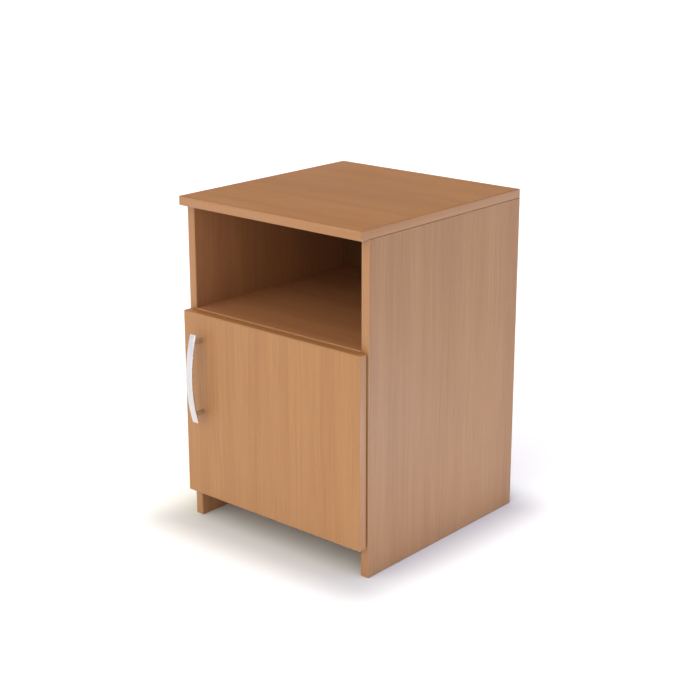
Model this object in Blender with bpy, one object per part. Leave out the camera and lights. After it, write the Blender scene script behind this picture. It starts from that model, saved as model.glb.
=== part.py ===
"""Bedside cabinet: a beech-decor carcass with an open compartment above a hinged door.

Metres, +Z up. The origin is at the middle of the object's footprint, on the floor. The front faces -Y,
and the door hangs on two concealed cup hinges at its right (+X) edge.
"""

import math

import bmesh
import bpy
from mathutils import Matrix, Vector

# Carcass
WIDTH = 0.400
DEPTH = 0.400  # of the side panels
HEIGHT = 0.580
BOARD = 0.016
TOP_OVERHANG = 0.019  # of the top panel past the front edges of the sides
SHELF_TOP = 0.384  # height of the fixed shelf's upper face
BOTTOM_TOP = 0.070  # height of the bottom panel's upper face
BACK_THICKNESS = 0.003
BACK_INSET = 0.010  # from the sides' rear edges to the back panel's rear face
GROOVE_DEPTH = 0.008

# Door
DOOR_LOW = 0.052
DOOR_HIGH = 0.382
DOOR_INSET = 0.0025  # from the cabinet's outer side faces to the door's edges
DOOR_GAP = 0.002  # between the sides' front edges and the closed door

# Edge bands
BAND = 0.002
BAND_ROUND = 0.0015

# Gaps between touching pieces
GLUE = 0.0001
FIT = 0.0002

# Dowels
DOWEL_RADIUS = 0.004
DOWEL_LENGTH = 0.035
DOWEL_IN_FACE = 0.011  # depth of a dowel in the face of a board; the rest is in the other board's end
DOWEL_FRONT = 0.060  # from the sides' front edges
DOWEL_REAR = 0.330

# Handle
HANDLE_X = -0.1575
HANDLE_Z = 0.271
HANDLE_SPACING = 0.128  # between its two posts
HANDLE_LENGTH = 0.158
HANDLE_WIDTH = 0.014
HANDLE_THICKNESS = 0.0045
HANDLE_ROUND = 0.0018  # radius of the bar's long edges
HANDLE_REACH = 0.031  # from the door's face to the middle of the bow's outer face
HANDLE_BOW = 0.0125  # how far the bow's middle stands in front of its ends
POST_RADIUS = 0.004

# Concealed hinges, in the plane of their motion: u runs outwards from the right side panel's inner
# face, v runs forwards from its front edge
HINGE_HEIGHTS = (("upper", 0.302), ("lower", 0.132))
INNER_ARM_PIVOT = (-0.0225, -0.0043)
INNER_CUP_PIVOT = (0.0018, 0.0038)
OUTER_ARM_PIVOT = (-0.0200, 0.0070)
OUTER_CUP_PIVOT = (-0.0026, 0.0043)
CUP_CENTRE = -0.0072
CUP_RADIUS = 0.0173
CUP_WALL = 0.0010
CUP_DEPTH = 0.0120  # from the door's rear face
CUP_RIM = 0.0188
CUP_PLATE = 0.0010  # thickness of the cup's flange
CUP_MOUTH = -0.002  # v to which the mouth is kept clear
FLANGE_FRONT = 0.004  # from the cup's centre towards the door's edge
FLANGE_BACK = -0.013
FLANGE_END = 0.006  # of the flange past its screws
FLANGE_ROUND = 0.006
CUP_SCREW_U = CUP_CENTRE - 0.006
CUP_SCREW_SPREAD = 0.024  # above and below the hinge's middle
CUP_SCREW_RADIUS = 0.0018
CUP_SCREW_LENGTH = 0.011
CHEEK_NEAR = 0.0070  # the cup's cheeks, from the hinge's middle
CHEEK_FAR = 0.0088
CHEEK_REACH = 0.0020  # of a cheek round its pin
CUP_PIN_LEG = 0.0094
CUP_PIN_BEND = 0.0102
PIN_RADIUS = 0.0010
PIN_HOLE_REACH = 0.0095  # of the cutters for the pins, above and below the hinge's middle
LINK_HALF = 0.0009  # half the thickness of a link
LINK_EYE = 0.0020
FORK_SLOT_HALF = 0.0022
OUTER_LINK_HALF_WIDTH = 0.0018
OPEN_PIVOT_GAP = 0.0023  # from the cup's outer pivot to the outer link's end, which stops short of it
ARM_HALF_WIDTH = 0.0059
ARM_WALL = 0.0010
ARM_SPINE = -0.0165  # u of the outside of the arm's straight part
ARM_SKIRT = -0.0060  # u of the lower edges of the arm's sides
ARM_BACK = -0.062  # v of the arm's rear end
ARM_UNDERCUT = 0.0120  # how far the cutter for the arm's channel runs past its nose
SPRING_RADIUS = 0.0005
SPRING_U = -0.0226
SPRING_FRONT = -0.0070
SPRING_REAR = -0.0130
SPRING_HALF_WIDTH = 0.0036
PLATE_WING = 0.0022  # thickness of the mounting plate's wings
PLATE_SPINE = -0.0153  # u of the top of the mounting plate's spine
PLATE_FRONT = -0.0280
WING_FRONT = -0.0300
WING_REAR = -0.0440
WING_END = 0.0075  # of a wing past its screw
WING_ROUND = 0.0045
PLATE_SCREW_V = -0.037
PLATE_SCREW_SPREAD = 0.016
PLATE_SCREW_RADIUS = 0.0025
PLATE_SCREW_LENGTH = 0.013
CLAMP_SCREW_V = -0.054
ADJUSTING_SCREW_V = -0.0315
SCREW_M4 = 0.0020
MACHINE_SCREW_LENGTH = 0.0095
POST_SCREW_DEPTH = 0.008  # how far a handle screw enters its post
RECESS_HALF = 0.0004  # half the width of a cross recess

# Places that follow from the sizes above
DOOR_FACE = DOOR_GAP + BOARD  # the door's front face, ahead of the sides' front edges
REACH = DOOR_FACE + HANDLE_REACH
FRONT = REACH - (DEPTH + REACH) / 2  # y of the sides' front edges
REAR = FRONT + DEPTH
INNER_X = WIDTH / 2 - BOARD  # x of the right side panel's inner face
UNDER_TOP = HEIGHT - BOARD
BACK_Y = REAR - BACK_INSET - BACK_THICKNESS  # y of the back panel's front face
BOW_RADIUS = (HANDLE_LENGTH**2 / 4 + HANDLE_BOW**2) / (2 * HANDLE_BOW)


def clear_scene():
    for obj in list(bpy.data.objects):
        bpy.data.objects.remove(obj, do_unlink=True)


def make_material(name, colour, roughness, metallic=0.0):
    material = bpy.data.materials.new(name)
    material.use_nodes = True
    shader = material.node_tree.nodes["Principled BSDF"]
    shader.inputs["Base Color"].default_value = (*colour, 1.0)
    shader.inputs["Roughness"].default_value = roughness
    shader.inputs["Metallic"].default_value = metallic
    material.diffuse_color = (*colour, 1.0)
    return material


clear_scene()
BEECH = make_material("beech_decor_board", (0.50, 0.27, 0.12), 0.45)
BEECH_EDGE = make_material("beech_edge_band", (0.54, 0.30, 0.14), 0.40)
HARDBOARD = make_material("decor_hardboard", (0.44, 0.24, 0.11), 0.55)
DOWEL_WOOD = make_material("dowel_beech", (0.62, 0.42, 0.24), 0.70)
SATIN_METAL = make_material("satin_aluminium", (0.80, 0.79, 0.77), 0.32, 1.0)
NICKEL = make_material("nickel_plated_steel", (0.66, 0.65, 0.62), 0.28, 1.0)
ZINC = make_material("zinc_plated_steel", (0.60, 0.61, 0.62), 0.38, 1.0)


# ---------------------------------------------------------------- shapes


def block(bm, low, high):
    """Adds a cuboid between two corners."""
    low, high = Vector(low), Vector(high)
    place = Matrix.Translation((low + high) / 2) @ Matrix.Diagonal((*(high - low), 1.0))
    bmesh.ops.create_cube(bm, size=1.0, matrix=place)


def rod(bm, start, end, radius, sides=16):
    """Adds a capped cylinder from one point to another, along any axis."""
    start, end = Vector(start), Vector(end)
    along = end - start
    turn = along.to_track_quat("Z", "Y").to_matrix().to_4x4()
    bmesh.ops.create_cone(
        bm,
        cap_ends=True,
        segments=sides,
        radius1=radius,
        radius2=radius,
        depth=along.length,
        matrix=Matrix.Translation((start + end) / 2) @ turn,
    )


def turned(bm, start, axis, profile, sides=16):
    """Adds a solid of revolution: profile holds (distance along axis, radius), and its ends are closed."""
    start = Vector(start)
    turn = Vector(axis).to_track_quat("Z", "Y").to_matrix()
    rings = []
    for along, radius in profile:
        ring = []
        for i in range(sides):
            angle = 2 * math.pi * i / sides
            local = Vector((radius * math.cos(angle), radius * math.sin(angle), along))
            ring.append(bm.verts.new(start + turn @ local))
        rings.append(ring)
    close_loft(bm, rings)


def close_loft(bm, rings):
    """Joins rings of vertices one to the next, and closes the first and the last with a face."""
    for ring, following in zip(rings, rings[1:]):
        join_rings(bm, ring, following)
    bm.faces.new(list(reversed(rings[0])))
    bm.faces.new(rings[-1])


def join_rings(bm, ring, following):
    for i in range(len(ring)):
        j = (i + 1) % len(ring)
        bm.faces.new((ring[i], ring[j], following[j], following[i]))


def prism(bm, outline, place):
    """Adds a straight prism. place turns (a, b, side) into a point, for side 0 and side 1."""
    rings = [[bm.verts.new(place(a, b, side)) for a, b in outline] for side in (0, 1)]
    close_loft(bm, rings)


def rounded_outline(corners, radius, steps=3):
    """The outline through corners, in order, with each one rounded by an arc of the radius."""
    points = []
    count = len(corners)
    for i, corner in enumerate(corners):
        here = Vector(corner)
        to_last = (Vector(corners[i - 1]) - here).normalized()
        to_next = (Vector(corners[(i + 1) % count]) - here).normalized()
        half = to_last.angle(to_next) / 2
        centre = here + (to_last + to_next).normalized() * radius / math.sin(half)
        first = here + to_last * radius / math.tan(half) - centre
        last = here + to_next * radius / math.tan(half) - centre
        for step in range(steps + 1):
            outwards = first.lerp(last, step / steps).normalized()
            points.append(tuple(centre + outwards * radius))
    return points


def wire(bm, points, radius, sides=8):
    """Adds a bent round wire through the points, which all lie in one plane with every corner mitred."""
    points = [Vector(point) for point in points]
    plane = (points[1] - points[0]).cross(points[-1] - points[0]).normalized()
    rings = []
    for i, point in enumerate(points):
        before = (point - points[max(i - 1, 0)]).normalized()
        after = (points[min(i + 1, len(points) - 1)] - point).normalized()
        along = (before + after).normalized()
        across = plane.cross(along)
        stretch = 1 / max(along.dot(after if after.length else before), 0.5)
        ring = []
        for side in range(sides):
            angle = 2 * math.pi * side / sides
            offset = across * radius * stretch * math.cos(angle) + plane * radius * math.sin(angle)
            ring.append(bm.verts.new(point + offset))
        rings.append(ring)
    close_loft(bm, rings)


def bar_outline(points, half, eyes, steps=8):
    """A bent flat bar seen from above: a line of points thickened by half on both sides, with a round
    eye of the given radius at each end, or a plain end where that radius is 0."""
    points = [Vector(point) for point in points]

    def side_points(line):
        found = []
        for before, here, after in zip(line, line[1:], line[2:]):
            along = (after - before).normalized()
            found.append(here + Vector((-along.y, along.x)) * half)
        return found

    def end_points(end, towards, eye):
        along = (end - towards).normalized()
        across = Vector((-along.y, along.x))
        if not eye:
            return [end + across * half, end - across * half]
        spread = math.pi - math.asin(half / eye)
        turns = [spread * (1 - 2 * step / steps) for step in range(steps + 1)]
        return [end + along * eye * math.cos(turn) + across * eye * math.sin(turn) for turn in turns]

    outline = end_points(points[-1], points[-2], eyes[1])
    outline += side_points(points[::-1])
    outline += end_points(points[0], points[1], eyes[0])
    outline += side_points(points)
    return [tuple(point) for point in outline]


# ---------------------------------------------------------------- objects


def finish_mesh(bm, origin):
    """Turns faces outwards and moves the mesh so that origin becomes the object's own origin."""
    bmesh.ops.recalc_face_normals(bm, faces=bm.faces)
    bmesh.ops.translate(bm, verts=bm.verts, vec=-Vector(origin))
    mesh = bpy.data.meshes.new("mesh")
    bm.to_mesh(mesh)
    bm.free()
    return mesh


def add_object(name, bm, material, origin, parent=None, smooth=False):
    """Makes the piece from a bmesh in world coordinates, with its origin at the point given."""
    mesh = finish_mesh(bm, origin)
    mesh.name = name
    mesh.materials.append(material)
    if smooth:
        mesh.shade_smooth()
        mesh.set_sharp_from_angle(angle=math.radians(35))
    obj = bpy.data.objects.new(name, mesh)
    bpy.context.scene.collection.objects.link(obj)
    obj.location = origin
    if parent:
        obj.parent = parent
        obj.location = Vector(origin) - parent.location
    return obj


def add_tool(name, bm):
    """Makes a hidden cutter or a shape to be joined on."""
    tool = bpy.data.objects.new(name, finish_mesh(bm, (0, 0, 0)))
    bpy.context.scene.collection.objects.link(tool)
    tool.hide_render = True
    tool.display_type = "WIRE"
    return tool


def boolean(obj, tool, operation="DIFFERENCE"):
    modifier = obj.modifiers.new(tool.name, "BOOLEAN")
    modifier.operation = operation
    modifier.solver = "EXACT"
    modifier.object = tool


def add_empty(name, location):
    empty = bpy.data.objects.new(name, None)
    bpy.context.scene.collection.objects.link(empty)
    empty.location = location
    empty.empty_display_size = 0.02
    return empty


def pan_head(head):
    """The profile of a domed screw head of that (radius, length), for turned()."""
    radius, length = head
    return [
        (-length, radius * 0.5),
        (-length * 0.85, radius * 0.8),
        (-length * 0.4, radius),
        (0.0, radius),
    ]


def add_recess(screw, place, axis, head):
    """Cuts a cross recess into a screw whose head, given as (radius, length), sits at place."""
    arm = head[0] * 0.55
    half = RECESS_HALF
    outline = [(arm, -half), (arm, half), (half, half), (half, arm), (-half, arm), (-half, half)]
    outline += [(-a, -b) for a, b in outline]
    turn = Vector(axis).to_track_quat("Z", "Y").to_matrix()
    floor = -head[1] * 0.4

    def at(a, b, side):
        return Vector(place) + turn @ Vector((a, b, floor if side else -2 * head[1]))

    bm = bmesh.new()
    prism(bm, outline, at)
    boolean(screw, add_tool(f"cut_{screw.name}_recess", bm))


# ---------------------------------------------------------------- boards and their edge bands


def band_profile(thickness):
    """Half-round strip section as (depth from the outer face, height over the board's lower face)."""
    outline = [(BAND - GLUE, 0.0), (BAND - GLUE, thickness)]
    steps = 3
    for centre, first_angle in ((thickness - BAND_ROUND, 90), (BAND_ROUND, 180)):
        for step in range(steps + 1):
            angle = math.radians(first_angle + 90 * step / steps)
            depth = BAND_ROUND + BAND_ROUND * math.cos(angle)
            outline.append((depth, centre + BAND_ROUND * math.sin(angle)))
    return outline


def add_band(name, corners, closed, place, parent=None):
    """An edge band that follows a path of outer corners in a board's plane.

    Each corner is (a, b, directions): the band turns round the point (a, b), which lies one band's
    thickness in from the outer faces, through the outward directions given in degrees. place turns
    (a, b, height) into a point in the world.
    """
    bm = bmesh.new()
    profile = band_profile(BOARD)
    rings = []
    for a, b, directions in corners:
        for direction in directions:
            angle = math.radians(direction)
            ring = []
            for depth, height in profile:
                out = BAND - depth
                point = place(a + out * math.cos(angle), b + out * math.sin(angle), height)
                ring.append(bm.verts.new(point))
            rings.append(ring)
    if closed:
        for ring, following in zip(rings, rings[1:] + rings[:1]):
            join_rings(bm, ring, following)
    else:
        close_loft(bm, rings)
    middle = sum((v.co for v in bm.verts), Vector()) / len(bm.verts)
    return add_object(name, bm, BEECH_EDGE, middle, parent, smooth=True)


def turn_steps(first, last, steps=3):
    return [first + (last - first) * step / steps for step in range(steps + 1)]


def rectangle_band(name, low, high, place, parent=None):
    """A band all round a board whose outline runs from low to high in its own plane."""
    inner_low = (low[0] + BAND, low[1] + BAND)
    inner_high = (high[0] - BAND, high[1] - BAND)
    corners = [
        (inner_high[0], inner_high[1], turn_steps(0, 90)),
        (inner_low[0], inner_high[1], turn_steps(90, 180)),
        (inner_low[0], inner_low[1], turn_steps(180, 270)),
        (inner_high[0], inner_low[1], turn_steps(270, 360)),
    ]
    return add_band(name, corners, True, place, parent)


def add_board(name, low, high, material=BEECH, cutters=(), parent=None):
    bm = bmesh.new()
    block(bm, low, high)
    board = add_object(name, bm, material, (Vector(low) + Vector(high)) / 2, parent)
    for cutter in cutters:
        boolean(board, cutter)
    return board


def dowel_places():
    """(name, centre, axis) of each dowel: vertical under the top, level at the shelf and the bottom."""
    places = []
    for side_name, side in (("left", -1), ("right", 1)):
        for depth_name, depth in (("front", DOWEL_FRONT), ("rear", DOWEL_REAR)):
            end = f"{side_name}_{depth_name}"
            y = FRONT + depth
            height = UNDER_TOP + DOWEL_IN_FACE - DOWEL_LENGTH / 2
            places.append((f"dowel_top_{end}", (side * (INNER_X + BOARD / 2), y, height), (0, 0, 1)))
            x = side * (INNER_X + DOWEL_IN_FACE - DOWEL_LENGTH / 2)
            for board_name, board_top in (("shelf", SHELF_TOP), ("bottom", BOTTOM_TOP)):
                places.append((f"dowel_{board_name}_{end}", (x, y, board_top - BOARD / 2), (1, 0, 0)))
    return places


def dowel_cutter():
    """One hidden cutter with every dowel hole, a little wider and deeper than the dowels."""
    bm = bmesh.new()
    for _, centre, axis in dowel_places():
        reach = Vector(axis) * (DOWEL_LENGTH / 2 + 2 * FIT)
        rod(bm, Vector(centre) - reach, Vector(centre) + reach, DOWEL_RADIUS + FIT)
    return add_tool("cut_dowel_holes", bm)


def add_dowels():
    chamfer = 0.001
    half = DOWEL_LENGTH / 2
    profile = [
        (-half, DOWEL_RADIUS - chamfer),
        (-half + chamfer, DOWEL_RADIUS),
        (half - chamfer, DOWEL_RADIUS),
        (half, DOWEL_RADIUS - chamfer),
    ]
    for name, centre, axis in dowel_places():
        bm = bmesh.new()
        turned(bm, centre, axis, profile)
        add_object(name, bm, DOWEL_WOOD, centre, smooth=True)


def back_cutter():
    """The grooves for the back panel, as one block a little larger than the panel's edges need."""
    bm = bmesh.new()
    half = INNER_X + GROOVE_DEPTH
    low = (-half, BACK_Y - FIT, BAND + 2 * FIT)
    high = (half, BACK_Y + BACK_THICKNESS + FIT, UNDER_TOP + GROOVE_DEPTH)
    block(bm, low, high)
    return add_tool("cut_back_grooves", bm)


def add_top(cutters):
    low_y = FRONT - TOP_OVERHANG
    half = WIDTH / 2
    add_board(
        "top_panel",
        (-half + BAND, low_y + BAND, UNDER_TOP),
        (half - BAND, REAR - BAND, HEIGHT),
        cutters=cutters,
    )

    def place(a, b, height):
        return (a, b, UNDER_TOP + height)

    rectangle_band("top_edge_band", (-half, low_y), (half, REAR), place)


def add_side(name, side, cutters):
    """A side panel, banded along its front, lower and rear edges."""
    outer = side * WIDTH / 2
    inner = side * INNER_X
    top = UNDER_TOP - FIT
    low = (min(inner, outer), FRONT + BAND, BAND)
    high = (max(inner, outer), REAR - BAND, top)
    add_board(name, low, high, cutters=cutters)

    def place(a, b, height):
        return (inner + side * height, a, b)

    corners = [
        (FRONT + BAND, top, [180]),
        (FRONT + BAND, BAND, turn_steps(180, 270)),
        (REAR - BAND, BAND, turn_steps(270, 360)),
        (REAR - BAND, top, [360]),
    ]
    add_band(f"{name}_edge_band", corners, False, place)


def add_level_board(name, top, cutters):
    """The fixed shelf or the bottom panel, between the sides, with a band along its front edge."""
    half = INNER_X - FIT
    low = (-half, FRONT + BAND, top - BOARD)
    high = (half, BACK_Y - FIT, top)
    add_board(name, low, high, cutters=cutters)

    def place(a, b, height):
        return (a, b, top - BOARD + height)

    corners = [(half, FRONT + BAND, [270]), (-half, FRONT + BAND, [270])]
    add_band(f"{name}_edge_band", corners, False, place)


def add_back():
    half = INNER_X + GROOVE_DEPTH - FIT
    low = (-half, BACK_Y, BOTTOM_TOP - BOARD)
    high = (half, BACK_Y + BACK_THICKNESS, UNDER_TOP + GROOVE_DEPTH - FIT)
    add_board("back_panel", low, high, HARDBOARD)


def add_carcass(hinge_cutters):
    cutters = [dowel_cutter(), back_cutter()]
    add_top(cutters)
    add_side("left_side_panel", -1, cutters)
    add_side("right_side_panel", 1, cutters + hinge_cutters)
    add_level_board("fixed_shelf", SHELF_TOP, cutters[:1])
    add_level_board("bottom_panel", BOTTOM_TOP, cutters[:1])
    add_back()
    add_dowels()


# ---------------------------------------------------------------- door and handle


def add_door(cutters):
    """The overlay door, banded all round."""
    half = WIDTH / 2 - DOOR_INSET
    low = (-half + BAND, FRONT - DOOR_FACE, DOOR_LOW + BAND)
    high = (half - BAND, FRONT - DOOR_GAP, DOOR_HIGH - BAND)
    add_board("door_panel", low, high, cutters=cutters, parent=DOOR_PIVOT)

    def place(a, b, height):
        return (a, FRONT - DOOR_GAP - height, b)

    rectangle_band("door_edge_band", (-half, DOOR_LOW), (half, DOOR_HIGH), place, DOOR_PIVOT)


def bow_point(angle, depth):
    """A point of the bow: angle from its middle, depth behind its outer face."""
    radius = BOW_RADIUS - depth
    return (FRONT - REACH + BOW_RADIUS - radius * math.cos(angle), HANDLE_Z + radius * math.sin(angle))


def bow(bm, outline, steps):
    """Sweeps an outline of (across, depth) points along the handle's bow."""
    half_angle = math.asin(HANDLE_LENGTH / 2 / BOW_RADIUS)
    rings = []
    for step in range(steps + 1):
        angle = half_angle * (2 * step / steps - 1)
        ring = []
        for across, depth in outline:
            y, z = bow_point(angle, depth)
            ring.append(bm.verts.new((HANDLE_X + across, y, z)))
        rings.append(ring)
    close_loft(bm, rings)


def handle_post_places():
    return (("upper", HANDLE_Z + HANDLE_SPACING / 2), ("lower", HANDLE_Z - HANDLE_SPACING / 2))


def add_handle():
    """An arched flat bar on two round posts, each held by a screw from inside the door."""
    half = HANDLE_WIDTH / 2
    corners = [(-half, 0), (half, 0), (half, HANDLE_THICKNESS), (-half, HANDLE_THICKNESS)]
    bm = bmesh.new()
    bow(bm, rounded_outline(corners, HANDLE_ROUND, 3), 24)
    middle = (HANDLE_X, FRONT - REACH, HANDLE_Z)
    add_object("handle_bar", bm, SATIN_METAL, middle, DOOR_PIVOT, smooth=True)

    bm = bmesh.new()
    clear = HANDLE_THICKNESS + FIT
    bow(bm, [(-2 * half, -0.01), (2 * half, -0.01), (2 * half, clear), (-2 * half, clear)], 24)
    cut_bow = add_tool("cut_posts_to_bow", bm)

    bm = bmesh.new()
    for _, z in handle_post_places():
        start = (HANDLE_X, FRONT, z)
        rod(bm, start, (HANDLE_X, FRONT - DOOR_FACE - POST_SCREW_DEPTH, z), SCREW_M4 + FIT, 12)
    cut_thread = add_tool("cut_handle_screw_holes", bm)

    for name, z in handle_post_places():
        start = (HANDLE_X, FRONT - DOOR_FACE - FIT, z)
        bm = bmesh.new()
        rod(bm, start, (HANDLE_X, FRONT - REACH, z), POST_RADIUS, 20)
        post = add_object(f"handle_post_{name}", bm, SATIN_METAL, start, DOOR_PIVOT, smooth=True)
        boolean(post, cut_bow)
        boolean(post, cut_thread)

        bm = bmesh.new()
        head = (0.0040, 0.0026)
        place = (HANDLE_X, FRONT - DOOR_GAP + FIT, z)
        tip = DOOR_FACE - DOOR_GAP + POST_SCREW_DEPTH - FIT
        turned(bm, place, (0, -1, 0), pan_head(head) + [(0, SCREW_M4), (tip, SCREW_M4)], 12)
        screw = add_object(f"handle_screw_{name}", bm, ZINC, place, DOOR_PIVOT, smooth=True)
        add_recess(screw, place, (0, -1, 0), head)
    return cut_thread


# ---------------------------------------------------------------- concealed hinges


def link_line(start, end, bends):
    """The middle line of a bent link. Each bend is (distance back from the end, distance to the left)."""
    start, end = Vector(start), Vector(end)
    along = (end - start).normalized()
    left = Vector((-along.y, along.x))
    return [start] + [end - along * back + left * side for back, side in bends] + [end]


class Hinge:
    """One concealed cup hinge. Its pieces are named after it, and w is the height over its middle."""

    def __init__(self, name, height):
        self.name = name
        self.height = height

    def at(self, u, v, w=0.0):
        return Vector((INNER_X + u, FRONT - v, self.height + w))

    def prism(self, bm, outline, low, high):
        prism(bm, outline, lambda u, v, side: self.at(u, v, high if side else low))

    def box(self, bm, low, high):
        """A cuboid between two (u, v, w) corners."""
        first, last = self.at(*low), self.at(*high)
        block(bm, map(min, first, last), map(max, first, last))

    def pin(self, bm, pivot, reach, radius):
        rod(bm, self.at(*pivot, -reach), self.at(*pivot, reach), radius, 12)

    def pin_hole(self, bm, pivot):
        self.pin(bm, pivot, PIN_HOLE_REACH, PIN_RADIUS + FIT)

    def add(self, piece, bm, material, origin, parent=None, smooth=True):
        return add_object(f"{self.name}_hinge_{piece}", bm, material, origin, parent, smooth)

    def tool(self, piece, bm):
        return add_tool(f"cut_{self.name}_{piece}", bm)

    def machine_screw_holes(self, bm, depth):
        """Holes for the clamp screw and the adjusting screw, from over the arm down to u = depth."""
        for v in (CLAMP_SCREW_V, ADJUSTING_SCREW_V):
            rod(bm, self.at(2 * ARM_SPINE, v), self.at(depth, v), SCREW_M4 + FIT, 12)

    def cup_screw_places(self):
        return (("top", CUP_SCREW_SPREAD), ("bottom", -CUP_SCREW_SPREAD))

    def plate_screw_places(self):
        return (("top", PLATE_SCREW_SPREAD), ("bottom", -PLATE_SCREW_SPREAD))

    def door_cutter(self):
        """The bore for the cup and the pilot holes of its two screws, in the door."""
        bm = bmesh.new()
        bottom = DOOR_GAP + CUP_DEPTH + FIT
        rod(bm, self.at(CUP_CENTRE, 0), self.at(CUP_CENTRE, bottom), CUP_RADIUS + FIT, 40)
        for _, w in self.cup_screw_places():
            tip = self.at(CUP_SCREW_U, DOOR_GAP + CUP_SCREW_LENGTH, w)
            rod(bm, self.at(CUP_SCREW_U, 0, w), tip, CUP_SCREW_RADIUS + FIT, 10)
        return self.tool("door_bores", bm)

    def side_cutter(self):
        """The two holes for the mounting plate's screws, in the right side panel."""
        bm = bmesh.new()
        for _, w in self.plate_screw_places():
            tip = self.at(PLATE_SCREW_LENGTH - PLATE_WING + FIT, PLATE_SCREW_V, w)
            rod(bm, self.at(-FIT, PLATE_SCREW_V, w), tip, PLATE_SCREW_RADIUS + FIT, 10)
        return self.tool("side_holes", bm)

    def add_cup(self):
        """A pressed bowl with a rim, an oval flange and two cheeks that carry the bent pin. The rim is
        notched where the inner link lies over it when the door is open."""
        face = DOOR_GAP - GLUE
        bottom = DOOR_GAP + CUP_DEPTH
        inner = CUP_RADIUS - CUP_WALL
        profile = [
            (bottom, CUP_RADIUS - 0.0015),
            (bottom - 0.0015, CUP_RADIUS),
            (face, CUP_RADIUS),
            (face, CUP_RIM),
            (face - CUP_PLATE, CUP_RIM),
            (face - CUP_PLATE, inner),
            (bottom - 0.0022, inner),
            (bottom - CUP_WALL, inner - 0.0012),
        ]
        bm = bmesh.new()
        turned(bm, self.at(CUP_CENTRE, 0), (0, -1, 0), profile, 40)
        middle = self.at(CUP_CENTRE, face)
        cup = self.add("cup", bm, NICKEL, middle, DOOR_PIVOT)

        bm = bmesh.new()
        reach = CUP_SCREW_SPREAD + FLANGE_END
        front, back = CUP_CENTRE + FLANGE_FRONT, CUP_CENTRE + FLANGE_BACK
        corners = [(front, -reach), (front, reach), (back, reach), (back, -reach)]
        outline = rounded_outline(corners, FLANGE_ROUND, 4)
        prism(bm, outline, lambda u, w, side: self.at(u, face - CUP_PLATE * side, w))
        boolean(cup, self.tool("cup_flange", bm), "UNION")

        bm = bmesh.new()
        rod(bm, self.at(CUP_CENTRE, face + CUP_PLATE), self.at(CUP_CENTRE, CUP_MOUTH), inner, 40)
        boolean(cup, self.tool("cup_mouth", bm))

        bm = bmesh.new()
        for side in (-1, 1):
            low = (OUTER_CUP_PIVOT[0] - CHEEK_REACH, INNER_CUP_PIVOT[1] - CHEEK_REACH, side * CHEEK_NEAR)
            high = (INNER_CUP_PIVOT[0] + CHEEK_REACH, bottom - CUP_WALL / 2, side * CHEEK_FAR)
            self.box(bm, low, high)
        boolean(cup, self.tool("cup_cheeks", bm), "UNION")

        bm = bmesh.new()
        notch = ARM_HALF_WIDTH
        low = (CUP_CENTRE + inner - 3 * CUP_WALL, 0.0, -notch)
        self.box(bm, low, (CUP_CENTRE + 2 * CUP_RIM, face + FIT, notch))
        boolean(cup, self.tool("cup_notch", bm))

        bm = bmesh.new()
        for pivot in (INNER_CUP_PIVOT, OUTER_CUP_PIVOT):
            self.pin_hole(bm, pivot)
        for _, w in self.cup_screw_places():
            start, end = self.at(CUP_SCREW_U, 0, w), self.at(CUP_SCREW_U, 2 * DOOR_GAP, w)
            rod(bm, start, end, CUP_SCREW_RADIUS + FIT, 10)
        boolean(cup, self.tool("cup_holes", bm))

    def add_cup_pin(self):
        """One wire bent to a U: its legs are the two pins in the cup."""
        bm = bmesh.new()
        legs = (INNER_CUP_PIVOT, OUTER_CUP_PIVOT)
        points = [self.at(*legs[0], -CUP_PIN_LEG), self.at(*legs[0], CUP_PIN_BEND)]
        points += [self.at(*legs[1], CUP_PIN_BEND), self.at(*legs[1], -CUP_PIN_LEG)]
        wire(bm, points, PIN_RADIUS, 12)
        self.add("cup_pin", bm, NICKEL, self.at(*INNER_CUP_PIVOT), DOOR_PIVOT)

    def add_screw(self, piece, place, axis, head, shank, parent=None):
        """A cross-recessed screw whose head sits at place. head and shank are (radius, length)."""
        radius, length = shank
        profile = pan_head(head) + [(0.0, radius), (length * 0.85, radius), (length, radius * 0.4)]
        bm = bmesh.new()
        turned(bm, place, axis, profile, 12)
        add_recess(self.add(piece, bm, ZINC, place, parent), place, axis, head)

    def add_inner_link(self):
        """A fork: two cheeks that hold the cup's inner pin, joined round the arm's inner pin."""
        half_width = ARM_HALF_WIDTH - ARM_WALL - FIT
        bends = [(0.0110, 0.0006), (0.0076, 0.0006), (0.0044, -0.00035)]
        points = link_line(INNER_ARM_PIVOT, INNER_CUP_PIVOT, bends)
        bm = bmesh.new()
        self.prism(bm, bar_outline(points, LINK_HALF, (LINK_EYE, LINK_EYE)), -half_width, half_width)
        link = self.add("inner_link", bm, NICKEL, self.at(*INNER_ARM_PIVOT), INNER_PIVOT)

        bm = bmesh.new()
        for pivot in (INNER_ARM_PIVOT, INNER_CUP_PIVOT):
            self.pin_hole(bm, pivot)
        boolean(link, self.tool("inner_link_holes", bm))

        bm = bmesh.new()
        self.box(bm, (-0.0110, -0.0060, -FORK_SLOT_HALF), (0.0060, 0.0080, FORK_SLOT_HALF))
        boolean(link, self.tool("inner_link_slot", bm))

    def add_outer_link(self):
        """A narrow bar on the arm's outer pin. It ends just short of the cup's outer pin."""
        bends = [(0.0100, 0.0012), (0.0055, 0.0006)]
        points = link_line(OUTER_ARM_PIVOT, OUTER_CUP_PIVOT, bends)
        points[-1] = points[-1].lerp(points[-2], OPEN_PIVOT_GAP / (points[-1] - points[-2]).length)
        outline = bar_outline(points, LINK_HALF, (LINK_EYE, 0))
        bm = bmesh.new()
        self.prism(bm, outline, -OUTER_LINK_HALF_WIDTH, OUTER_LINK_HALF_WIDTH)
        link = self.add("outer_link", bm, NICKEL, self.at(*OUTER_ARM_PIVOT), OUTER_PIVOT)

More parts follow.
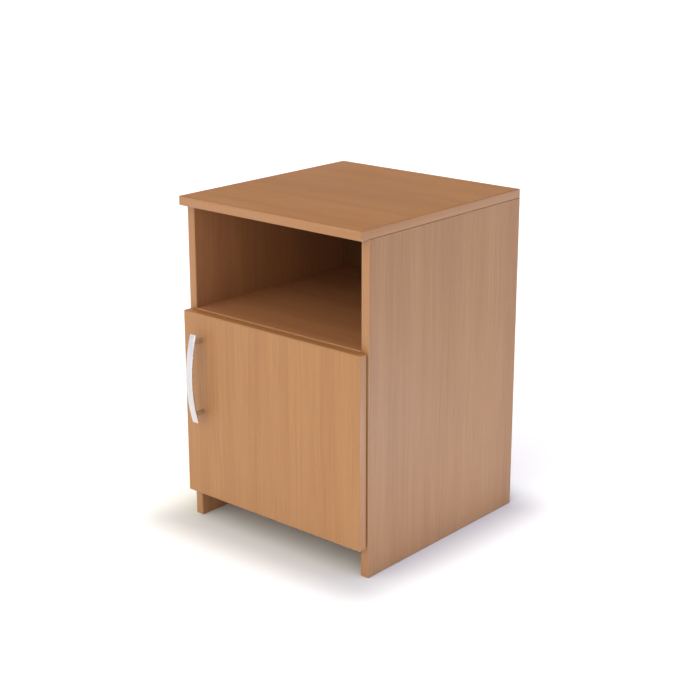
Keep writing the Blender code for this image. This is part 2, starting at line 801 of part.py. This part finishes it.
        bm = bmesh.new()
        self.pin_hole(bm, OUTER_ARM_PIVOT)
        boolean(link, self.tool("outer_link_cuts", bm))

    def add_arm(self):
        """A pressed channel, open towards the side panel, whose nose reaches into the cup."""
        spine = [
            (-0.0190, 0.0089),
            (-0.0212, 0.0086),
            (-0.0221, 0.0070),
            (-0.0221, 0.0004),
            (-0.0260, -0.0032),
            (-0.0260, -0.0150),
            (ARM_SPINE, -0.0270),
            (ARM_SPINE, ARM_BACK),
        ]
        underside = [
            (ARM_SKIRT, ARM_BACK),
            (ARM_SKIRT, -0.0200),
            (-0.0130, -0.0080),
            (-0.0182, 0.0010),
            (-0.0179, 0.0075),
        ]
        bm = bmesh.new()
        self.prism(bm, spine + underside, -ARM_HALF_WIDTH, ARM_HALF_WIDTH)
        arm = self.add("arm", bm, NICKEL, self.at(ARM_SPINE, PLATE_SCREW_V))

        inner_spine = ARM_SPINE + ARM_WALL
        past_back = ARM_BACK - ARM_WALL
        inside = [
            (-0.0280, ARM_UNDERCUT),
            (-0.0280, 0.0006),
            (-0.0210, 0.0006),
            (-0.0250, -0.0035),
            (-0.0250, -0.0146),
            (inner_spine, -0.0266),
            (inner_spine, past_back),
            (-0.0020, past_back),
            (-0.0020, ARM_UNDERCUT),
        ]
        half_width = ARM_HALF_WIDTH - ARM_WALL
        bm = bmesh.new()
        self.prism(bm, inside, -half_width, half_width)
        boolean(arm, self.tool("arm_channel", bm))

        bm = bmesh.new()
        for pivot in (INNER_ARM_PIVOT, OUTER_ARM_PIVOT):
            self.pin_hole(bm, pivot)
        self.machine_screw_holes(bm, ARM_SPINE + 4 * ARM_WALL)
        boolean(arm, self.tool("arm_holes", bm))

    def add_arm_pins(self):
        for piece, pivot in (("inner", INNER_ARM_PIVOT), ("outer", OUTER_ARM_PIVOT)):
            bm = bmesh.new()
            self.pin(bm, pivot, ARM_HALF_WIDTH - FIT, PIN_RADIUS)
            self.add(f"arm_pin_{piece}", bm, NICKEL, self.at(*pivot))

    def add_spring(self):
        """The closing spring: a bent wire that lies under the arm's back, behind the inner pin."""
        bm = bmesh.new()
        points = [
            self.at(SPRING_U, SPRING_FRONT, SPRING_HALF_WIDTH),
            self.at(SPRING_U, SPRING_REAR, SPRING_HALF_WIDTH),
            self.at(SPRING_U, SPRING_REAR, -SPRING_HALF_WIDTH),
            self.at(SPRING_U, SPRING_FRONT, -SPRING_HALF_WIDTH),
        ]
        wire(bm, points, SPRING_RADIUS)
        self.add("spring", bm, ZINC, self.at(SPRING_U, SPRING_REAR))

    def add_mounting_plate(self):
        """A cross-shaped plate on the side panel, with a raised spine that the arm clips over."""
        bm = bmesh.new()
        spine_half = ARM_HALF_WIDTH - ARM_WALL - FIT
        self.box(bm, (PLATE_SPINE, ARM_BACK + ARM_WALL, -spine_half), (-FIT, PLATE_FRONT, spine_half))
        plate = self.add("mounting_plate", bm, NICKEL, self.at(-FIT, PLATE_SCREW_V))

        bm = bmesh.new()
        reach = PLATE_SCREW_SPREAD + WING_END
        corners = [(WING_FRONT, -reach), (WING_FRONT, reach), (WING_REAR, reach), (WING_REAR, -reach)]
        outline = rounded_outline(corners, WING_ROUND, 3)
        prism(bm, outline, lambda v, w, side: self.at(-FIT - PLATE_WING * side, v, w))
        boolean(plate, self.tool("plate_wings", bm), "UNION")

        bm = bmesh.new()
        for _, w in self.plate_screw_places():
            start, end = self.at(-2 * PLATE_WING, PLATE_SCREW_V, w), self.at(PLATE_WING, PLATE_SCREW_V, w)
            rod(bm, start, end, PLATE_SCREW_RADIUS + FIT, 10)
        self.machine_screw_holes(bm, ARM_SPINE + MACHINE_SCREW_LENGTH + 5 * FIT)
        boolean(plate, self.tool("plate_holes", bm))

    def add_screws(self):
        for place, w in self.cup_screw_places():
            seat = self.at(CUP_SCREW_U, DOOR_GAP - GLUE - CUP_PLATE - FIT, w)
            shank = (CUP_SCREW_RADIUS, CUP_SCREW_LENGTH)
            self.add_screw(f"cup_screw_{place}", seat, (0, -1, 0), (0.0033, 0.0012), shank, DOOR_PIVOT)
        for place, w in self.plate_screw_places():
            seat = self.at(-PLATE_WING - 2 * FIT, PLATE_SCREW_V, w)
            shank = (PLATE_SCREW_RADIUS, PLATE_SCREW_LENGTH)
            self.add_screw(f"plate_screw_{place}", seat, (1, 0, 0), (0.0045, 0.0024), shank)
        for piece, v in (("clamp_screw", CLAMP_SCREW_V), ("adjusting_screw", ADJUSTING_SCREW_V)):
            seat = self.at(ARM_SPINE - FIT, v)
            shank = (SCREW_M4, MACHINE_SCREW_LENGTH)
            self.add_screw(piece, seat, (1, 0, 0), (0.0036, 0.0022), shank)

    def add_all(self):
        self.add_cup()
        self.add_cup_pin()
        self.add_inner_link()
        self.add_outer_link()
        self.add_arm()
        self.add_arm_pins()
        self.add_spring()
        self.add_mounting_plate()
        self.add_screws()


# ---------------------------------------------------------------- the whole cabinet


def pivot_empty(name, pivot):
    u, v = pivot
    return add_empty(name, (INNER_X + u, FRONT - v, 0))


DOOR_PIVOT = pivot_empty("door_pivot", INNER_CUP_PIVOT)
INNER_PIVOT = pivot_empty("inner_link_pivot", INNER_ARM_PIVOT)
OUTER_PIVOT = pivot_empty("outer_link_pivot", OUTER_ARM_PIVOT)
HINGES = [Hinge(name, height) for name, height in HINGE_HEIGHTS]

add_carcass([hinge.side_cutter() for hinge in HINGES])
handle_holes = add_handle()
add_door([handle_holes] + [hinge.door_cutter() for hinge in HINGES])
for hinge in HINGES:
    hinge.add_all()
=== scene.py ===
"""Looks of the bedside cabinet: beech-decor boards, satin handle, plated hinges, pale studio."""

import math

import bpy
from mathutils import Euler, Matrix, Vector


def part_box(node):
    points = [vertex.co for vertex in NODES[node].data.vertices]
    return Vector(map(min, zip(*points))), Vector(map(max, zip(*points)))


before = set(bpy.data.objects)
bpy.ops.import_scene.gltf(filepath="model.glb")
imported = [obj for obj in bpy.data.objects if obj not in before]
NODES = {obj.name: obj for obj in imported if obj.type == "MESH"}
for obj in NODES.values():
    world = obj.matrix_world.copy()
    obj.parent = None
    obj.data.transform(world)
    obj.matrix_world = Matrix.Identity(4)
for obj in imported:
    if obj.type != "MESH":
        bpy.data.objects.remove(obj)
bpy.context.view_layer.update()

MM = 0.001
SMOOTH_ANGLE = math.radians(35)  # faces that meet at more than this keep a sharp edge
BEVEL_ANGLE = math.radians(40)  # edges sharper than this get the fine bevel
LAMINATE_ROUGHNESS = 0.42
BAND_ROUGHNESS = 0.38
GLUE_LINE = 2.5 * MM  # width of the worn strip along a board's edges
SCREEN_PITCH = 1.6 * MM  # of the screen pattern pressed into raw hardboard

# Colours, as linear RGB
BEECH_LIGHT = (0.402, 0.206, 0.091)
BEECH_DARK = (0.322, 0.150, 0.062)
BEECH_FLECK = (0.215, 0.087, 0.036)
BAND_LIGHT = (0.400, 0.207, 0.091)
BAND_DARK = (0.345, 0.165, 0.068)
DOWEL_LIGHT = (0.66, 0.45, 0.26)
DOWEL_DARK = (0.50, 0.31, 0.16)
DOWEL_FLECK = (0.30, 0.17, 0.08)
FIBRE_DARK = (0.150, 0.078, 0.036)
FIBRE_LIGHT = (0.330, 0.190, 0.100)
FIBRE_BLOTCH = (0.200, 0.108, 0.052)
# darkens the back's inner beech decor: painted shade of the compartment's far wall
BACK_PAINTED_SHADE_TINT = (0.38, 0.32, 0.26)


# ---------------------------------------------------------------- shader graphs


class Graph:
    """A material's node tree, with short calls for the nodes that repeat."""

    def __init__(self, name):
        self.material = bpy.data.materials.new(name)
        self.material.use_nodes = True
        self.tree = self.material.node_tree
        self.shader = self.tree.nodes["Principled BSDF"]
        self.coords = self.tree.nodes.new("ShaderNodeTexCoord")

    def put(self, socket, value):
        """Links value to a socket, or sets it if it is a constant."""
        if isinstance(value, bpy.types.NodeSocket):
            self.tree.links.new(value, socket)
        else:
            socket.default_value = value

    def math(self, operation, first, second=0.0, third=0.0, clamp=False):
        node = self.tree.nodes.new("ShaderNodeMath")
        node.operation = operation
        node.use_clamp = clamp
        for socket, value in zip(node.inputs, (first, second, third)):
            self.put(socket, value)
        return node.outputs[0]

    def swing(self, noise, amount, base, clamp=False):
        """base plus amount times a noise's distance from its mean of 0.5."""
        return self.math("MULTIPLY_ADD", self.math("SUBTRACT", noise, 0.5), amount, base, clamp)

    def vector(self, operation, first, second):
        node = self.tree.nodes.new("ShaderNodeVectorMath")
        node.operation = operation
        self.put(node.inputs[0], first)
        self.put(node.inputs[1], second)
        return node.outputs[0]

    def split(self, vector):
        node = self.tree.nodes.new("ShaderNodeSeparateXYZ")
        self.put(node.inputs[0], vector)
        return node.outputs

    def combine(self, x, y, z):
        node = self.tree.nodes.new("ShaderNodeCombineXYZ")
        for socket, value in zip(node.inputs, (x, y, z)):
            self.put(socket, value)
        return node.outputs[0]

    def mix(self, factor, first, second, kind="RGBA"):
        node = self.tree.nodes.new("ShaderNodeMix")
        node.data_type = kind
        sockets = {"RGBA": (6, 7, 2), "VECTOR": (4, 5, 1)}[kind]
        self.put(node.inputs[0], factor)
        for index, value in zip(sockets, (first, second)):
            if kind == "RGBA" and isinstance(value, tuple):
                value = (*value[:3], 1.0)
            self.put(node.inputs[index], value)
        return node.outputs[sockets[2]]

    def noise(self, vector, scale, detail=2.0, roughness=0.5):
        node = self.tree.nodes.new("ShaderNodeTexNoise")
        node.inputs["Scale"].default_value = 1.0
        node.inputs["Detail"].default_value = detail
        node.inputs["Roughness"].default_value = roughness
        self.put(node.inputs["Vector"], self.vector("MULTIPLY", vector, scale))
        return node.outputs[0]

    def ramp(self, value, low, high, to_low=0.0, to_high=1.0):
        """Maps low..high onto to_low..to_high smoothly, and holds beyond both ends."""
        node = self.tree.nodes.new("ShaderNodeMapRange")
        node.interpolation_type = "SMOOTHSTEP"
        self.put(node.inputs[0], value)
        for socket, number in zip(node.inputs[1:5], (low, high, to_low, to_high)):
            self.put(socket, number)
        return node.outputs[0]

    def bump(self, height, distance, strength):
        node = self.tree.nodes.new("ShaderNodeBump")
        node.inputs["Distance"].default_value = distance
        node.inputs["Strength"].default_value = strength
        self.put(node.inputs["Height"], height)
        return node.outputs[0]

    def set(self, **values):
        for name, value in values.items():
            if isinstance(value, tuple):
                value = (*value[:3], 1.0)
            self.put(self.shader.inputs[name.replace("_", " ")], value)
        return self.material


def grain_vector(graph, axis, offset):
    """Object coordinates with the grain's axis last, moved to a board's own part of the print."""
    xyz = graph.split(graph.coords.outputs["Object"])
    order = {"x": (1, 2, 0), "y": (0, 2, 1), "z": (0, 1, 2)}[axis]
    vector = graph.combine(*[xyz[i] for i in order])
    return graph.vector("ADD", vector, offset)


def facing(graph, axis):
    """1 where the surface faces along an axis, either way, and 0 elsewhere."""
    normal = graph.split(graph.coords.outputs["Normal"])
    return graph.math("GREATER_THAN", graph.math("ABSOLUTE", normal["xyz".index(axis)]), 0.7)


def edge_distance(graph, low, high, axes):
    """How far a point is from the nearest side of the box, along the two axes of a board's face."""
    xyz = graph.split(graph.coords.outputs["Object"])
    nearest = None
    for axis in axes:
        i = "xyz".index(axis)
        from_low = graph.math("SUBTRACT", xyz[i], low[i])
        from_high = graph.math("SUBTRACT", high[i], xyz[i])
        for distance in (from_low, from_high):
            nearest = distance if nearest is None else graph.math("MINIMUM", nearest, distance)
    return nearest


def beech(graph, vector, light, dark, fleck, contrast=1.0):
    """(colour, fleck mask) of printed beech: broad bands, lines, fine lines and short flecks. The
    grain runs along the vector's third number."""
    warp = graph.noise(vector, (9.0, 9.0, 2.2), 2.0)
    warp = graph.math("MULTIPLY", graph.math("SUBTRACT", warp, 0.5), 0.030)
    vector = graph.vector("ADD", vector, graph.combine(warp, warp, 0.0))
    broad = graph.noise(vector, (24.0, 24.0, 1.1), 3.0, 0.55)
    lines = graph.noise(vector, (190.0, 190.0, 3.2), 3.0, 0.6)
    fine = graph.noise(vector, (900.0, 900.0, 22.0), 2.0, 0.6)
    tone = graph.swing(broad, 1.5 * contrast, 0.5)
    tone = graph.swing(lines, 1.5 * contrast, tone)
    tone = graph.swing(fine, 0.5 * contrast, tone, clamp=True)
    colour = graph.mix(tone, dark, light)
    flecks = graph.noise(vector, (1300.0, 1300.0, 150.0), 1.0)
    where = graph.noise(vector, (60.0, 60.0, 9.0), 2.0)
    where = graph.ramp(where, 0.35, 0.65, 0.25, 1.0)
    flecks = graph.math("MULTIPLY", graph.ramp(flecks, 0.60, 0.70), where)
    colour = graph.mix(graph.math("MULTIPLY", flecks, 0.28), colour, fleck)
    return colour, flecks


def finish_laminate(graph, colour, flecks, roughness):
    """A melamine surface: satin gloss that the flecks break up, over a fine pressed texture."""
    xyz = graph.coords.outputs["Object"]
    pearl = graph.noise(xyz, (1700.0, 1700.0, 1700.0), 2.0)
    patches = graph.noise(xyz, (7.0, 7.0, 7.0), 3.0)
    rough = graph.swing(patches, 0.10, roughness)
    rough = graph.math("MULTIPLY_ADD", flecks, 0.08, rough)
    height = graph.math("MULTIPLY_ADD", flecks, -0.8, pearl)
    return graph.set(
        Base_Color=colour,
        Roughness=rough,
        Normal=graph.bump(height, 0.03 * MM, 0.8),
        Specular_IOR_Level=0.5,
    )


def print_with_painted_light(painted_light_tint):
    """The three tones of the beech print, multiplied by a colour that paints the light and shade
    falling on that board.
    """
    tones = (BEECH_LIGHT, BEECH_DARK, BEECH_FLECK)
    return [tuple(c * t for c, t in zip(tone, painted_light_tint)) for tone in tones]


def board_material(node, axis, face_axes, offset, painted_light_tint):
    """The decor of one board. Its edges are a little darker, where the glue line meets the band."""
    graph = Graph(f"beech_decor_{node}")
    vector = grain_vector(graph, axis, offset)
    # the tint is painted light and shade: it shifts this board's print to how light falls on its face
    light, dark, fleck = print_with_painted_light(painted_light_tint)
    colour, flecks = beech(graph, vector, light, dark, fleck)
    low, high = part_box(node)
    edge = edge_distance(graph, low, high, face_axes)
    scuffs = graph.noise(graph.coords.outputs["Object"], (120.0, 120.0, 120.0), 3.0, 0.65)
    near_edge = graph.ramp(edge, 0.0, GLUE_LINE, 1.0, 0.0)
    worn = graph.math("MULTIPLY", near_edge, graph.ramp(scuffs, 0.45, 0.70))
    colour = graph.mix(graph.math("MULTIPLY", worn, 0.25), colour, tuple(c * 0.75 for c in dark))
    return finish_laminate(graph, colour, flecks, LAMINATE_ROUGHNESS)


def band_material(name, straight, turned, turn_axis, offset):
    """An edge band, whose print runs along the strip: along the turned axis on faces that look along
    turn_axis, and along the straight one elsewhere."""
    graph = Graph(f"beech_band_{name}")
    vector = grain_vector(graph, straight, offset)
    if turned:
        turned_vector = grain_vector(graph, turned, offset)
        vector = graph.mix(facing(graph, turn_axis), vector, turned_vector, "VECTOR")
    colour, flecks = beech(graph, vector, BAND_LIGHT, BAND_DARK, BEECH_FLECK, 0.8)
    scuffs = graph.noise(graph.coords.outputs["Object"], (260.0, 260.0, 260.0), 3.0, 0.7)
    scuffed = graph.math("MULTIPLY", graph.ramp(scuffs, 0.58, 0.74), 0.16)
    colour = graph.mix(scuffed, colour, BAND_LIGHT)
    return finish_laminate(graph, colour, flecks, BAND_ROUGHNESS)


def hardboard_material():
    """The back: beech decor towards the inside, darkened as painted shade of the compartment's far
    wall, and raw hardboard with a screen pattern behind.
    """
    graph = Graph("decor_hardboard")
    vector = grain_vector(graph, "z", (3.1, 0.7, 1.9))
    # painted shade: the inner beech decor is darkened by the back's tint
    colour, flecks = beech(graph, vector, *print_with_painted_light(BACK_PAINTED_SHADE_TINT))
    xyz = graph.coords.outputs["Object"]
    fibres = graph.noise(xyz, (420.0, 420.0, 420.0), 5.0, 0.7)
    blotches = graph.noise(xyz, (14.0, 14.0, 14.0), 4.0)
    raw = graph.mix(fibres, FIBRE_DARK, FIBRE_LIGHT)
    raw = graph.mix(graph.ramp(blotches, 0.3, 0.7, 0.0, 0.35), raw, FIBRE_BLOTCH)
    behind = graph.math("GREATER_THAN", graph.split(graph.coords.outputs["Normal"])[1], 0.5)
    x, _, z = graph.split(xyz)
    waves = [graph.math("SINE", graph.math("MULTIPLY", a, 2 * math.pi / SCREEN_PITCH)) for a in (x, z)]
    screen = graph.math("MULTIPLY", *waves)
    height = graph.math("MULTIPLY_ADD", graph.math("MULTIPLY", screen, 0.4), behind, fibres)
    rough = graph.math("MULTIPLY_ADD", behind, 0.35, 0.45)
    rough = graph.math("MULTIPLY_ADD", flecks, 0.05, rough)
    return graph.set(
        Base_Color=graph.mix(behind, colour, raw),
        Roughness=rough,
        Normal=graph.bump(height, 0.08 * MM, 0.7),
    )


def dowel_material():
    graph = Graph("dowel_beech")
    vector = grain_vector(graph, "z", (0.3, 0.2, 0.1))
    colour, flecks = beech(graph, vector, DOWEL_LIGHT, DOWEL_DARK, DOWEL_FLECK)
    return graph.set(Base_Color=colour, Roughness=graph.math("MULTIPLY_ADD", flecks, 0.1, 0.7))


def metal_material(name, light, dark, roughness, brush, marks):
    """A brushed or plated metal. brush is the lines' fineness along each axis, so a small number
    draws them out, and marks is how plainly small worn specks show."""
    graph = Graph(name)
    graph.shader.inputs["Metallic"].default_value = 1.0
    xyz = graph.coords.outputs["Object"]
    lines = graph.noise(xyz, brush, 3.0, 0.6)
    clouds = graph.noise(xyz, (60.0, 60.0, 60.0), 4.0)
    specks = graph.noise(xyz, (900.0, 900.0, 900.0), 2.0)
    tone = graph.swing(clouds, 0.6, lines, clamp=True)
    worn = graph.math("MULTIPLY", graph.ramp(specks, 0.66, 0.74), marks)
    rough = graph.swing(lines, 0.16, roughness)
    rough = graph.math("MULTIPLY_ADD", worn, 0.2, rough)
    return graph.set(
        Base_Color=graph.mix(worn, graph.mix(tone, dark, light), tuple(c * 0.6 for c in dark)),
        Roughness=rough,
        Normal=graph.bump(lines, 0.02 * MM, 0.6),
    )


# ---------------------------------------------------------------- finishes of the CAD nodes


def smooth_group():
    """A modifier's node group: smooth shading, but sharp edges over SMOOTH_ANGLE."""
    group = bpy.data.node_groups.new("smooth_by_angle", "GeometryNodeTree")
    group.interface.new_socket("Geometry", in_out="INPUT", socket_type="NodeSocketGeometry")
    group.interface.new_socket("Geometry", in_out="OUTPUT", socket_type="NodeSocketGeometry")
    start = group.nodes.new("NodeGroupInput")
    end = group.nodes.new("NodeGroupOutput")
    angle = group.nodes.new("GeometryNodeInputMeshEdgeAngle")
    flat = group.nodes.new("FunctionNodeCompare")
    flat.operation = "LESS_EQUAL"
    flat.inputs[1].default_value = SMOOTH_ANGLE
    faces = group.nodes.new("GeometryNodeSetShadeSmooth")
    edges = group.nodes.new("GeometryNodeSetShadeSmooth")
    edges.domain = "EDGE"
    group.links.new(angle.outputs["Unsigned Angle"], flat.inputs[0])
    group.links.new(start.outputs[0], faces.inputs["Geometry"])
    group.links.new(faces.outputs[0], edges.inputs["Geometry"])
    group.links.new(flat.outputs[0], edges.inputs["Shade Smooth"])
    group.links.new(edges.outputs[0], end.inputs[0])
    return group


SMOOTH = smooth_group()


def dress(node, material, bevel=0.0):
    """Gives a CAD node its material, joined faces, an optional fine bevel, and smooth shading."""
    obj = NODES[node]
    obj.data.materials.clear()
    obj.data.materials.append(material)
    weld = obj.modifiers.new("weld", "WELD")
    weld.merge_threshold = 0.002 * MM
    if bevel:
        modifier = obj.modifiers.new("bevel", "BEVEL")
        modifier.width = bevel
        modifier.segments = 1
        modifier.limit_method = "ANGLE"
        modifier.angle_limit = BEVEL_ANGLE
    smooth = obj.modifiers.new("smooth", "NODES")
    smooth.node_group = SMOOTH


BOARDS = {
    # node: (axis of its grain, axes of its face, place in the print, tint of the print, which is
    # painted light and shade for how light falls on that board)
    "top_panel": ("x", "xy", (0.31, 1.70, 0.40), (1.16, 1.07, 0.72)),
    "left_side_panel": ("z", "yz", (2.10, 0.35, 0.80), (1.03, 0.98, 0.97)),
    "right_side_panel": ("z", "yz", (4.27, 1.15, 2.30), (0.94, 0.96, 0.93)),
    "fixed_shelf": ("x", "xy", (1.63, 2.44, 1.10), (0.98, 0.97, 1.16)),
    "bottom_panel": ("x", "xy", (3.05, 0.91, 3.60), (1.0, 1.0, 1.0)),
    "door_panel": ("z", "xz", (5.32, 2.83, 1.45), (1.0, 0.99, 0.86)),
}
for node, (axis, face_axes, offset, painted_light_tint) in BOARDS.items():
    dress(node, board_material(node, axis, face_axes, offset, painted_light_tint))

BANDS = {
    # node: (axis of the print, the other axis, where it turns, place in the print)
    "top_edge_band": ("x", "y", "x", (0.9, 0.4, 0.2)),
    "left_side_panel_edge_band": ("z", "y", "z", (1.9, 1.1, 0.5)),
    "right_side_panel_edge_band": ("z", "y", "z", (2.7, 0.3, 0.9)),
    "fixed_shelf_edge_band": ("x", None, None, (3.3, 1.7, 0.1)),
    "bottom_panel_edge_band": ("x", None, None, (4.1, 0.8, 0.6)),
    "door_edge_band": ("z", "x", "z", (5.5, 1.3, 0.3)),
}
for node, (straight, turned, turn_axis, offset) in BANDS.items():
    dress(node, band_material(node, straight, turned, turn_axis, offset))

dress("back_panel", hardboard_material())
DOWEL = dowel_material()
METALS = {
    # name: (light tone, dark tone, roughness, brush, marks)
    "satin_metal": ((0.74, 0.72, 0.73), (0.60, 0.58, 0.59), 0.28, (900.0, 900.0, 30.0), 0.2),
    "nickel_plate": ((0.74, 0.72, 0.68), (0.60, 0.58, 0.55), 0.24, (300.0, 300.0, 120.0), 0.5),
    "zinc_plate": ((0.66, 0.67, 0.68), (0.50, 0.51, 0.53), 0.36, (500.0, 500.0, 500.0), 0.8),
}
SATIN, NICKEL, ZINC = (metal_material(name, *look) for name, look in METALS.items())

SCREW_BEVEL = 0.15 * MM
HINGE_BEVEL = 0.12 * MM
for node in sorted(NODES):
    if node.startswith("dowel_"):
        dress(node, DOWEL)
    elif "screw" in node or node.endswith("_spring"):
        dress(node, ZINC, SCREW_BEVEL)
    elif node.startswith("handle_"):
        dress(node, SATIN)
    elif "_hinge_" in node:
        dress(node, NICKEL, HINGE_BEVEL)


# ---------------------------------------------------------------- studio


def floor_material():
    """Pale matt floor. It glows outside the cabinet's footprint, so that it is plain white there. The
    glow is painted light, and its rise from the footprint paints a soft shade on the floor around the
    cabinet.
    """
    graph = Graph("pale_floor")
    xyz = graph.coords.outputs["Object"]
    cloud = graph.noise(xyz, (3.0, 3.0, 3.0), 4.0)
    tone = graph.mix(cloud, FLOOR_DARK, FLOOR_LIGHT)
    x, y, _ = graph.split(xyz)
    squares = []
    for place, half in zip((x, y), FOOT_HALF):
        beside = graph.math("SUBTRACT", graph.math("ABSOLUTE", place), half)
        beside = graph.math("MAXIMUM", beside, 0.0)
        squares.append(graph.math("MULTIPLY", beside, beside))
    distance = graph.math("POWER", graph.math("ADD", *squares), 0.5)
    return graph.set(
        Base_Color=tone,
        Roughness=0.9,
        Specular_IOR_Level=0.0,
        Emission_Color=(1.0, 0.99, 1.0),
        # painted light: glow that rises with distance from the footprint, leaving painted shade close
        # around it
        Emission_Strength=graph.ramp(distance, *GLOW_FROM_TO, 0.0, FLOOR_GLOW),
    )


def add_floor():
    """A flat disc with a rim that sweeps up, so that low views have no hard horizon."""
    rings = [(radius, 0.0) for radius in FLOOR_RINGS]
    for step in range(1, SWEEP_STEPS + 1):
        angle = SWEEP_ANGLE * step / SWEEP_STEPS
        out, up = SWEEP_RADIUS * math.sin(angle), SWEEP_RADIUS * (1 - math.cos(angle))
        rings.append((FLOOR_RINGS[-1] + out, up))
    points = [(0.0, 0.0, 0.0)]
    for radius, z in rings:
        for i in range(FLOOR_SIDES):
            turn = 2 * math.pi * i / FLOOR_SIDES
            points.append((radius * math.cos(turn), radius * math.sin(turn), z))
    faces = [(0, 1 + i, 1 + (i + 1) % FLOOR_SIDES) for i in range(FLOOR_SIDES)]
    for ring in range(len(rings) - 1):
        for i in range(FLOOR_SIDES):
            a = 1 + ring * FLOOR_SIDES + i
            b = 1 + ring * FLOOR_SIDES + (i + 1) % FLOOR_SIDES
            faces.append((a, a + FLOOR_SIDES, b + FLOOR_SIDES, b))
    mesh = bpy.data.meshes.new("studio_floor")
    mesh.from_pydata(points, [], faces)
    mesh.shade_smooth()
    mesh.materials.append(floor_material())
    floor = bpy.data.objects.new("studio_floor", mesh)
    bpy.context.scene.collection.objects.link(floor)


def add_area(name, place, target, size, power, colour):
    light = bpy.data.lights.new(name, "AREA")
    light.shape = "RECTANGLE"
    light.size, light.size_y = size
    light.energy = power
    light.color = colour
    obj = bpy.data.objects.new(name, light)
    obj.location = place
    obj.rotation_mode = "QUATERNION"
    obj.rotation_quaternion = (Vector(target) - Vector(place)).to_track_quat("-Z", "Y")
    obj.visible_camera = False
    bpy.context.scene.collection.objects.link(obj)


def add_softbox(tree, direction, azimuth, elevation, sharpness, colour):
    """The colour that a broad light adds to the surround. Azimuth 0 is straight in front, and 90 is to
    the right; sharpness is the power by which it fades away from its middle."""
    azimuth, elevation = math.radians(azimuth), math.radians(elevation)
    aim = (
        math.sin(azimuth) * math.cos(elevation),
        -math.cos(azimuth) * math.cos(elevation),
        math.sin(elevation),
    )
    dot = tree.nodes.new("ShaderNodeVectorMath")
    dot.operation = "DOT_PRODUCT"
    dot.inputs[1].default_value = aim
    tree.links.new(direction, dot.inputs[0])
    clip = tree.nodes.new("ShaderNodeMath")
    clip.operation = "MAXIMUM"
    clip.inputs[1].default_value = 0.0
    tree.links.new(dot.outputs["Value"], clip.inputs[0])
    power = tree.nodes.new("ShaderNodeMath")
    power.operation = "POWER"
    power.inputs[1].default_value = sharpness
    tree.links.new(clip.outputs[0], power.inputs[0])
    scale = tree.nodes.new("ShaderNodeVectorMath")
    scale.operation = "SCALE"
    scale.inputs[0].default_value = colour
    tree.links.new(power.outputs[0], scale.inputs["Scale"])
    return scale.outputs[0]


def add_world():
    """A surround lit by a few broad softboxes, which the camera sees as plain white."""
    world = bpy.data.worlds.new("studio")
    world.use_nodes = True
    bpy.context.scene.world = world
    tree = world.node_tree
    lit = tree.nodes["Background"]
    output = tree.nodes["World Output"]
    coords = tree.nodes.new("ShaderNodeTexCoord")
    total = None
    for softbox in SOFTBOXES:
        colour = add_softbox(tree, coords.outputs["Generated"], *softbox)
        if total:
            both = tree.nodes.new("ShaderNodeVectorMath")
            both.operation = "ADD"
            tree.links.new(total, both.inputs[0])
            tree.links.new(colour, both.inputs[1])
            colour = both.outputs[0]
        total = colour
    tree.links.new(total, lit.inputs["Color"])
    seen = tree.nodes.new("ShaderNodeBackground")
    seen.inputs["Color"].default_value = (1.0, 1.0, 1.0, 1.0)
    path = tree.nodes.new("ShaderNodeLightPath")
    mix = tree.nodes.new("ShaderNodeMixShader")
    tree.links.new(path.outputs["Is Camera Ray"], mix.inputs[0])
    tree.links.new(lit.outputs[0], mix.inputs[1])
    tree.links.new(seen.outputs[0], mix.inputs[2])
    tree.links.new(mix.outputs[0], output.inputs["Surface"])


FLOOR_DARK = (0.74, 0.82, 0.95)
FLOOR_LIGHT = (0.77, 0.85, 0.98)
FLOOR_RINGS = (1.0, 3.0, 6.0, 9.0)  # radii of the flat part
FLOOR_SIDES = 96
SWEEP_RADIUS = 3.0
SWEEP_ANGLE = math.radians(80)
SWEEP_STEPS = 8
# the floor's glow is painted light; held back near the footprint, it paints a soft shade on the floor
# around the cabinet
FLOOR_GLOW = 0.48
GLOW_FROM_TO = (0.0, 0.12)  # distances from the footprint over which the floor's glow rises
FOOT_HALF = (0.195, 0.20)  # half of the footprint, as the glow measures it
SOFTBOXES = [
    # azimuth, elevation, sharpness, colour
    (0, 25, 4, (2.72, 2.46, 1.84)),
    (95, 25, 4, (0.02, 0.18, 0.90)),
    (0, 90, 2, (1.08, 0.86, 0.58)),
]

add_floor()
add_world()
add_area(
    "low_right",
    place=(0.75, 0.03, 0.06),
    target=(0, 0.03, 0.06),
    size=(0.8, 0.08),
    power=1.4,
    colour=(0.68, 0.80, 1.0),
)

CAMERA_PLACE = (1.602, -1.8475, 1.093)
CAMERA_PITCH = math.radians(16.53)
CAMERA_YAW = math.radians(40.75)
camera_data = bpy.data.cameras.new("camera")
camera_data.lens = 76.3
camera_data.sensor_width = 36.0
camera_data.shift_y = -0.05
camera_data.dof.use_dof = False
camera = bpy.data.objects.new("camera", camera_data)
camera.location = CAMERA_PLACE
camera.rotation_euler = Euler((math.pi / 2 - CAMERA_PITCH, 0, CAMERA_YAW))
bpy.context.scene.collection.objects.link(camera)
bpy.context.scene.camera = camera
bpy.context.scene.view_settings.view_transform = "Standard"
